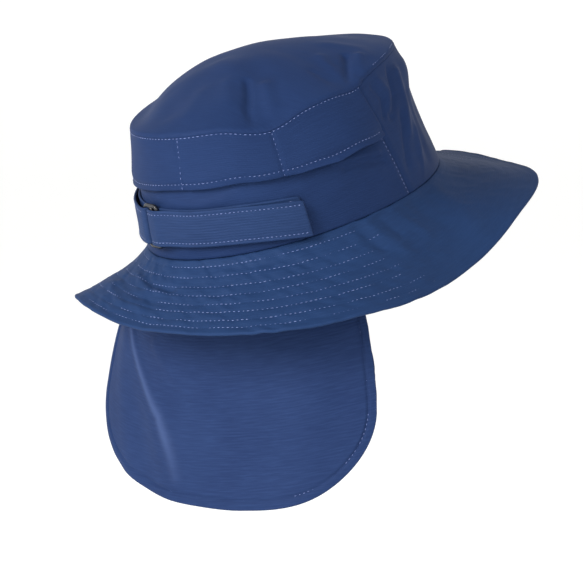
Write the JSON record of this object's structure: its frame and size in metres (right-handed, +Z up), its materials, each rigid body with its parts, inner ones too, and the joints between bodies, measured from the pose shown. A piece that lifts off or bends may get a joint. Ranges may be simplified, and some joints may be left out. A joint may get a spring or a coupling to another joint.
{
  "type": "surf hat",
  "caption": "Navy nylon surf hat as worn: domed crown with a vent flap, drooping stitched brim, back strap drawn through a ring, and a neck flap that hangs from below the brim.",
  "frame": {"origin": "middle of the head opening, on the seam between crown and brim, where the hat sits on the head", "axes": "+Z is up for a standing wearer, +Y the way the wearer faces, +X the wearer's right. The hat is tipped 17.6 degrees back and 4.3 degrees to its left in this frame, and the neck flap hangs along -Z."},
  "size_m": [0.2724, 0.3076, 0.2901],
  "materials": {
    "shell_cloth": "soft matte navy nylon",
    "flap_cloth": "thin matte navy nylon with fine cross ribs",
    "strap_cloth": "matte navy nylon, stitched double",
    "ring_plastic": "black moulded plastic, satin"
  },
  "bodies": {
    "root": {"crown_top": "shell_cloth", "crown_back_panel": "shell_cloth", "crown_front_panel": "shell_cloth", "vent_flap": "shell_cloth", "brim": "shell_cloth", "neck_flap": "flap_cloth", "size_strap": "strap_cloth", "ring_tab": "strap_cloth", "strap_ring": "ring_plastic"}
  },
  "joints": []
}
